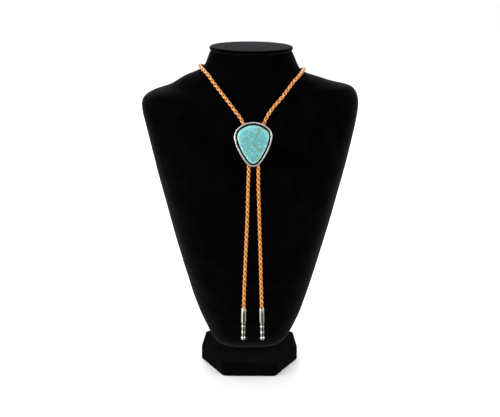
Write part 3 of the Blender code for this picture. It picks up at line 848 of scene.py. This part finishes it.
class BOLO_OT_setting(Operator):
    """Cast the slide's plate, rim, channel and bezel in silver"""
    bl_idname = "bolo.setting"
    bl_label = "Silver Setting"

    def execute(self, context):
        look = context.scene.bolo_slide
        radius = look.rim_width / 2.0
        swell = radius * 0.45  # rise of the rounded rim over its sides
        round_steps = 8
        small = 0.00001  # the slant of an upright wall
        back_edge = 0.0004
        shape, face = slide_face(0.0, 0.0)
        top = raised_face(shape, face, look.rim_height - swell)
        rim = []
        for step in range(round_steps):
            first = pi * step / round_steps
            after = pi * (step + 1) / round_steps
            inward = radius * (cos(first) - cos(after))
            rim.append((inward, swell * (sin(after) - sin(first))))
        step_face(shape, top, rim)
        down = look.rim_height - swell - look.plate
        up = look.bezel_height - look.plate
        third = look.bezel_wall / 3.0
        step_face(shape, top, [(small, -down), (look.channel - 2.0 * small, 0.0), (small, up - third),
                               (third, third), (third, 0.0), (third, -third), (small, third - up)])
        tidy_shell(shape)
        edges = [edge for edge in shape.edges if all(vertex.co.z < small for vertex in edge.verts)
                 and len(edge.link_faces) == 2]
        round_edges(shape, edges, back_edge, 3)
        self.blacken(shape, look)
        bmesh.ops.transform(shape, matrix=slide_matrix(), verts=shape.verts)
        finished_piece("setting_silver", shape, [silver_finish(), black_channel_finish()],
                       ["setting"], radians(50.0))
        return {"FINISHED"}

    @staticmethod
    def blacken(shape, look):
        """Give all that lies inside the rim the black finish: the channel, the bezel and the seat."""
        margin = 0.00002  # keeps the rim's own last faces bright
        above = look.plate - 0.0001
        outline = slide_face(look.rim_width, 0.0)[0]
        reach = {}
        for vertex in outline.verts:
            reach[round(atan2(vertex.co.y, vertex.co.x), 2)] = vertex.co.xy.length
        outline.free()
        angles = sorted(reach)
        for face in shape.faces:
            middle = face.calc_center_median()
            angle = atan2(middle.y, middle.x)
            nearest = min(angles, key=lambda known: abs(known - angle))
            if middle.xy.length < reach[nearest] - margin and middle.z > above:
                face.material_index = 1


class BOLO_OT_stone(Operator):
    """Cut and polish the turquoise"""
    bl_idname = "bolo.stone"
    bl_label = "Turquoise"

    def execute(self, context):
        look = context.scene.bolo_slide
        seat = look.rim_width + look.channel + look.bezel_wall + look.stone_gap
        bottom = look.plate + look.stone_gap
        shape, face = slide_face(seat, bottom)
        top = raised_face(shape, face, look.stone_edge)
        crown_steps = 18
        middle = Matrix.Translation((0.0, -look.corner_rise / 3.0, 0.0))
        for step in range(crown_steps):
            angle = 0.5 * pi * step / crown_steps
            after = 0.5 * pi * (step + 0.98) / crown_steps
            shrink = cos(after) / cos(angle)
            rise = look.stone_dome * (sin(after) - sin(angle))
            ring_inwards(shape, top, shrink, rise, middle)
        bmesh.ops.poke(shape, faces=[top])
        tidy_shell(shape)
        bmesh.ops.transform(shape, matrix=slide_matrix(), verts=shape.verts)
        finished_piece("stone_turquoise", shape, [turquoise_finish()], ["stone"],
                       radians(60.0))
        return {"FINISHED"}


def nickel_finish():
    """Bright plated nickel, faintly warm, with turning marks, handling clouds and recesses made darker."""
    look = bpy.context.scene.bolo_tip
    finish = Finish("turned_nickel", Metallic=1.0, Roughness=0.12)
    clouds = finish.cloud(350.0, 3.0)
    marks = finish.cloud(120.0, place=finish.mapped(finish.place, Scale=(1.0, 1.0, 60.0)))
    handled = (0.48, 0.43, 0.35)
    colour = finish.mix(finish.ramp(clouds, 0.4, 0.8, 0.0, 0.25), look.nickel, handled)
    # darker where the tip is slimmer than its beads, between the slope, the beads and the ball
    recess_darkening = finish.sum("MULTIPLY", finish.written("recess"), 0.42)
    finish.feed("Base Color", finish.mix(recess_darkening, colour, look.recess_colour))
    finish.feed("Roughness", finish.ramp(clouds, 0.3, 0.8, 0.08, 0.18))
    finish.feed("Normal", finish.bump(marks, 0.000004, 0.5))
    return finish.material


class BOLO_OT_clasp(Operator):
    """Give the hidden clasp behind the slide its nickel"""
    bl_idname = "bolo.clasp"
    bl_label = "Clasp"

    def execute(self, context):
        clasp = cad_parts["slide_clasp"]
        material = shared_material("turned_nickel", nickel_finish)
        for slot in clasp.material_slots:
            slot.material = material
        return {"FINISHED"}


class BOLO_OT_tips(Operator):
    """Turn the two nickel tips and put them on the cord's ends"""
    bl_idname = "bolo.tips"
    bl_label = "Tips"

    @staticmethod
    def profile(look):
        """Radius and height along the tip's outside, from the mouth down."""
        waist = look.waist / 2.0
        swell = (look.bead - look.waist) / 2.0
        ball = look.ball / 2.0
        lip = 0.00025  # rounding of the mouth
        barrel = look.diameter / 2.0
        points = [(barrel - lip, 0.0), (barrel - 0.3 * lip, -0.3 * lip), (barrel, -lip),
                  (barrel, -look.barrel)]
        slope = 6
        for step in range(1, slope + 1):
            share = step / slope
            ease = share * share * (3.0 - 2.0 * share)
            points.append((barrel + (waist - barrel) * ease, -look.barrel - look.step * share))
        first = look.barrel + look.step + 0.6 * look.bead_pitch
        foot = 1.3  # how hollow the beads run out
        steps = 14
        for middle in (first, first + look.bead_pitch):
            for step in range(steps + 1):
                share = step / steps
                rise = sin(pi * share)
                points.append((waist + swell * rise ** foot, -middle + look.bead_length * (0.5 - share)))
        centre = ball - look.length
        neck = 0.85 * waist
        start = asin(neck / ball)
        steps = 18
        for step in range(steps):
            angle = start + (pi - start) * step / steps
            points.append((ball * sin(angle), centre + ball * cos(angle)))
        points.append((0.0, -look.length))
        return points

    @staticmethod
    def mark_recesses(shape, look):
        """Write down how deep each vertex lies between the slope, the beads and the ball."""
        recess = shape.verts.layers.float.new("recess")
        deepest = (look.bead - look.waist) / 2.0
        for vertex in shape.verts:
            if look.barrel < -vertex.co.z < look.length - look.ball / 2.0:
                depth = look.bead / 2.0 - hypot(vertex.co.x, vertex.co.y)
                vertex[recess] = min(1.0, max(0.0, depth / deepest))

    def execute(self, context):
        look = context.scene.bolo_tip
        cord = context.scene.bolo_braid
        line = smooth_route(CORD_ROUTE, 80)
        socket = cord.diameter / 2.0 + 0.0004  # the hole's radius, with room for the cord
        floor = -look.socket - 0.0003  # a little past the cord's end
        material = shared_material("turned_nickel", nickel_finish)
        for node, end, inward in (("tip_left", line[0], line[1]), ("tip_right", line[-1], line[-2])):
            shape = bmesh.new()
            points = [(0.0, floor), (socket, floor), (socket, -0.0002), (socket + 0.0001, 0.0)]
            points += self.profile(look)
            chain = [shape.verts.new((radius, 0.0, height)) for radius, height in points]
            for upper, lower in zip(chain, chain[1:]):
                shape.edges.new((upper, lower))
            bmesh.ops.spin(shape, geom=shape.verts[:] + shape.edges[:], axis=(0.0, 0.0, 1.0),
                           angle=2.0 * pi, steps=64, use_merge=True)
            tidy_shell(shape)
            self.mark_recesses(shape, look)
            direction = (inward - end).normalized()
            turn = direction.to_track_quat("Z", "Y").to_matrix().to_4x4()
            place = Matrix.Translation(end + direction * look.socket) @ turn
            bmesh.ops.transform(shape, matrix=place, verts=shape.verts)
            finished_piece(node + "_nickel", shape, [material], [node])
        return {"FINISHED"}


# Studio

def studio_world():
    """Soft light from all round, brightest at the left and above, dim behind the camera."""
    world = bpy.data.worlds.new("studio")
    world.use_nodes = True
    world.node_tree.nodes.clear()
    net = NodeNet(world.node_tree)
    direction = net.add("TexCoord").outputs["Generated"]
    axes = net.add("SeparateXYZ", {"Vector": direction}).outputs
    left = net.ramp(axes["X"], -0.47, -0.64, 0.0, 1.08)
    right = net.ramp(axes["X"], 0.5, 1.0, 0.0, 0.5)
    above = net.ramp(axes["Z"], 0.2, 0.8, 0.0, 0.5)
    level = net.ramp(axes["Z"], -0.12, 0.04, 0.018, 0.5)
    below = net.ramp(axes["Z"], -0.55, -0.85, 0.0, 0.4)
    sides = net.sum("ADD", left, right)
    light = net.sum("ADD", net.sum("ADD", sides, below), net.sum("ADD", above, level))
    lit = net.add("Background", {"Color": (1.0, 0.98, 0.95), "Strength": light}).outputs[0]
    # the camera itself sees an even pale grey
    seen = net.add("Background", {"Color": (0.9, 0.9, 0.9), "Strength": 1.0}).outputs[0]
    camera_ray = net.add("LightPath").outputs["Is Camera Ray"]
    either = net.add("MixShader", {"Fac": camera_ray, 1: lit, 2: seen}).outputs[0]
    net.add("OutputWorld", {"Surface": either})
    return world


def soft_light(name, place, target, size, power, colour=(1.0, 1.0, 1.0)):
    """A square soft box aimed at a point."""
    lamp = bpy.data.lights.new(name, "AREA")
    lamp.shape = "SQUARE"
    lamp.size = size
    lamp.energy = power
    lamp.color = colour
    light = placed(name, lamp)
    light.location = place
    light.rotation_euler = (Vector(target) - Vector(place)).to_track_quat("-Z", "Y").to_euler()


class BOLO_OT_stage(Operator):
    """Set up the pale floor, the soft lights and the camera at the photograph's angle"""
    bl_idname = "bolo.stage"
    bl_label = "Stage"

    def execute(self, context):
        look = context.scene.bolo_stage
        scene = context.scene
        finish = Finish("studio_floor", Roughness=0.85, Specular_IOR_Level=0.1)
        tone = finish.ramp(finish.cloud(1.5), 0.3, 0.7, 0.0, 0.05)
        scuffed = (0.9, 0.91, 0.93)
        finish.feed("Base Color", finish.mix(tone, look.floor, scuffed))
        shape = bmesh.new()
        bmesh.ops.create_circle(shape, cap_ends=True, segments=64, radius=30.0)
        floor = as_object("studio_floor", shape, [finish.material])
        floor.visible_glossy = False

        chest = (0.0, 0.0, 0.25)
        warm = (1.0, 0.98, 0.95)
        soft_light("left_softbox", (-1.5, -0.9, 0.9), chest, 0.9, look.left_power, warm)
        soft_light("low_left_softbox", (-1.35, -0.9, 0.22), chest, 0.42, look.low_power, warm)
        soft_light("right_softbox", (1.6, -0.7, 0.8), chest, 0.8, look.right_power)
        soft_light("rear_softbox", (0.0, 1.1, 1.5), chest, 1.2, look.top_power)
        scene.world = studio_world()
        scene.view_settings.view_transform = "Standard"

        camera = placed("photo_camera", bpy.data.cameras.new("photo_camera"))
        camera.data.sensor_fit = "HORIZONTAL"
        camera.data.sensor_width = 36.0
        camera.data.lens = look.lens
        camera.location = (0.0, -1.75, 0.66)
        middle = Vector((-0.0005, 0.0, 0.1925))  # what the picture's middle shows
        roll = Matrix.Rotation(radians(0.42), 3, "Z")
        aim = (middle - camera.location).to_track_quat("-Z", "Y").to_matrix()
        camera.rotation_euler = (aim @ roll).to_euler()
        scene.camera = camera
        return {"FINISHED"}


# Panel and registration

STEPS = (BOLO_OT_stage, BOLO_OT_tips, BOLO_OT_braided_cord, BOLO_OT_velvet_bust, BOLO_OT_neck_lid,
         BOLO_OT_base_plate, BOLO_OT_setting, BOLO_OT_stone, BOLO_OT_clasp)
SETTINGS = {"bolo_velvet": VelvetSettings, "bolo_braid": BraidSettings, "bolo_slide": SlideSettings,
            "bolo_tip": TipSettings, "bolo_stage": StageSettings}


class BOLO_PT_panel(Panel):
    """The steps that dress the bolo tie"""
    bl_idname = "BOLO_PT_panel"
    bl_label = "Bolo Tie"
    bl_space_type = "VIEW_3D"
    bl_region_type = "UI"
    bl_category = "Bolo Tie"

    def draw(self, context):
        for group in SETTINGS:
            box = self.layout.box()
            settings = getattr(context.scene, group)
            for name in settings.bl_rna.properties.keys():
                if name not in {"rna_type", "name"}:
                    box.prop(settings, name)
        for step in STEPS:
            self.layout.operator(step.bl_idname)


def register():
    for group, settings in SETTINGS.items():
        bpy.utils.register_class(settings)
        setattr(bpy.types.Scene, group, bpy.props.PointerProperty(type=settings))
    for step in (*STEPS, BOLO_PT_panel):
        bpy.utils.register_class(step)


def unregister():
    for step in reversed((*STEPS, BOLO_PT_panel)):
        bpy.utils.unregister_class(step)
    for group, settings in SETTINGS.items():
        delattr(bpy.types.Scene, group)
        bpy.utils.unregister_class(settings)


def main():
    """Dress the model step by step."""
    register()
    for step in STEPS:
        category, name = step.bl_idname.split(".")
        getattr(getattr(bpy.ops, category), name)()


if __name__ == "__main__":
    main()
